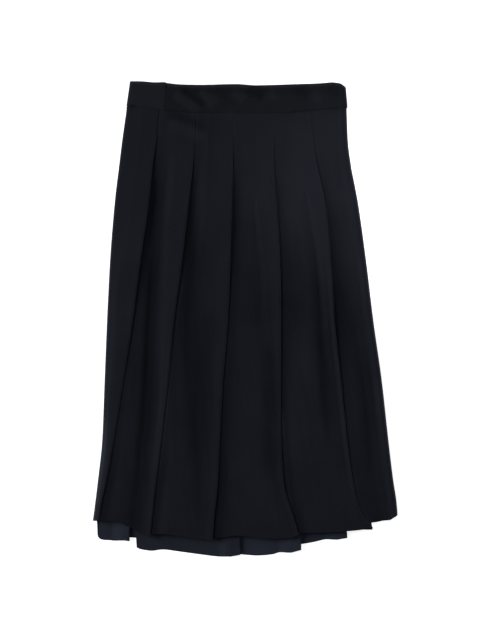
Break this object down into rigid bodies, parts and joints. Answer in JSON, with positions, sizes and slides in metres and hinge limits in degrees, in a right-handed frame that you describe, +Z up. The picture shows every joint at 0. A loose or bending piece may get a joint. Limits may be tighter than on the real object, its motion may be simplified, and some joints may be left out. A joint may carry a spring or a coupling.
{
  "type": "pleated midi skirt",
  "caption": "Midi skirt laid flat, with a waistband that closes with a tab, and knife pleats stitched down over the hip and free below.",
  "frame": {"origin": "middle of the underside of the skirt as it lies", "axes": "+X to the viewer's right across the skirt, +Y towards the waist, +Z up out of the front"},
  "size_m": [0.5026, 0.7849, 0.0161],
  "materials": {
    "cloth": "fine matt navy suiting with a soft nap",
    "band_cloth": "the same navy suiting, interfaced and pressed"
  },
  "bodies": {
    "root": {"waistband": "band_cloth", "front_panel": "cloth", "back_panel": "cloth"}
  },
  "joints": []
}
